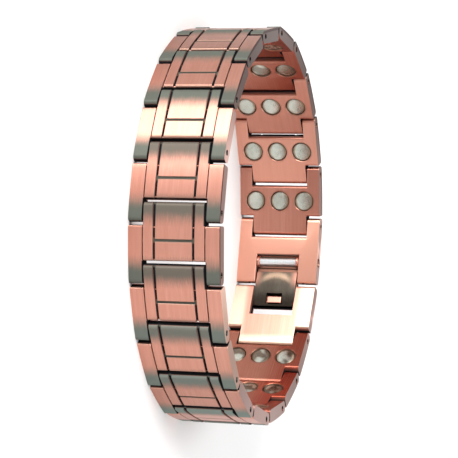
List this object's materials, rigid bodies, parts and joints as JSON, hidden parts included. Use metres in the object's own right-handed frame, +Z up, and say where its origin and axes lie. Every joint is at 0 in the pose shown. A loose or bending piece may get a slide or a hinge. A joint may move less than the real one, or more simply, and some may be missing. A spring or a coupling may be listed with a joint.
{
  "type": "magnetic bracelet",
  "caption": "Closed bracelet of rigid metal links on pins, lying on its side, with round magnets let into the inner face and a fold-over clasp whose lever swings outward.",
  "frame": {"origin": "under the middle of the loop, on the surface that the bracelet lies on", "axes": "+Z up, across the width of the band, +X along the longer side of the oval, +Y towards the side that holds the clasp"},
  "size_m": [0.0734, 0.0671, 0.0164],
  "materials": {
    "copper": "copper brushed along the band, with a dark antique patina at the link ends and in the grooves",
    "pins": "dark antique copper, dull",
    "magnets": "pale grey satin plating",
    "steel": "bright drawn steel"
  },
  "bodies": {
    "band": {"link_01": "copper", "link_02": "copper", "link_03": "copper", "link_04": "copper", "link_05": "copper", "link_06": "copper", "link_07": "copper", "link_08": "copper", "link_09": "copper", "link_10": "copper", "link_11": "copper", "link_12": "copper", "link_13": "copper", "link_14": "copper", "link_15": "copper", "link_16": "copper", "link_17": "copper", "link_18": "copper", "link_pin_01": "pins", "link_pin_02": "pins", "link_pin_03": "pins", "link_pin_04": "pins", "link_pin_05": "pins", "link_pin_06": "pins", "link_pin_07": "pins", "link_pin_08": "pins", "link_pin_09": "pins", "link_pin_10": "pins", "link_pin_11": "pins", "link_pin_12": "pins", "link_pin_13": "pins", "link_pin_14": "pins", "link_pin_15": "pins", "link_pin_16": "pins", "link_pin_17": "pins", "link_pin_18": "pins", "link_pin_19": "pins", "magnets_01": "magnets", "magnets_02": "magnets", "magnets_03": "magnets", "magnets_04": "magnets", "magnets_05": "magnets", "magnets_06": "magnets", "magnets_07": "magnets", "magnets_08": "magnets", "magnets_09": "magnets", "magnets_10": "magnets", "magnets_11": "magnets", "magnets_12": "magnets", "magnets_13": "magnets", "magnets_14": "magnets", "magnets_15": "magnets", "magnets_16": "magnets", "magnets_17": "magnets", "magnets_18": "magnets", "clasp_hinge_link": "copper", "clasp_catch_link": "copper", "clasp_pin": "steel"},
    "lever": {"clasp_lever": "copper"}
  },
  "joints": [
    {"name": "clasp_lever_hinge", "type": "hinge", "parent": "band", "child": "lever", "pos_m": [0.00218, 0.032, 0.0082], "axis": [0, 0, 1], "range_deg": [0, 95]}
  ]
}
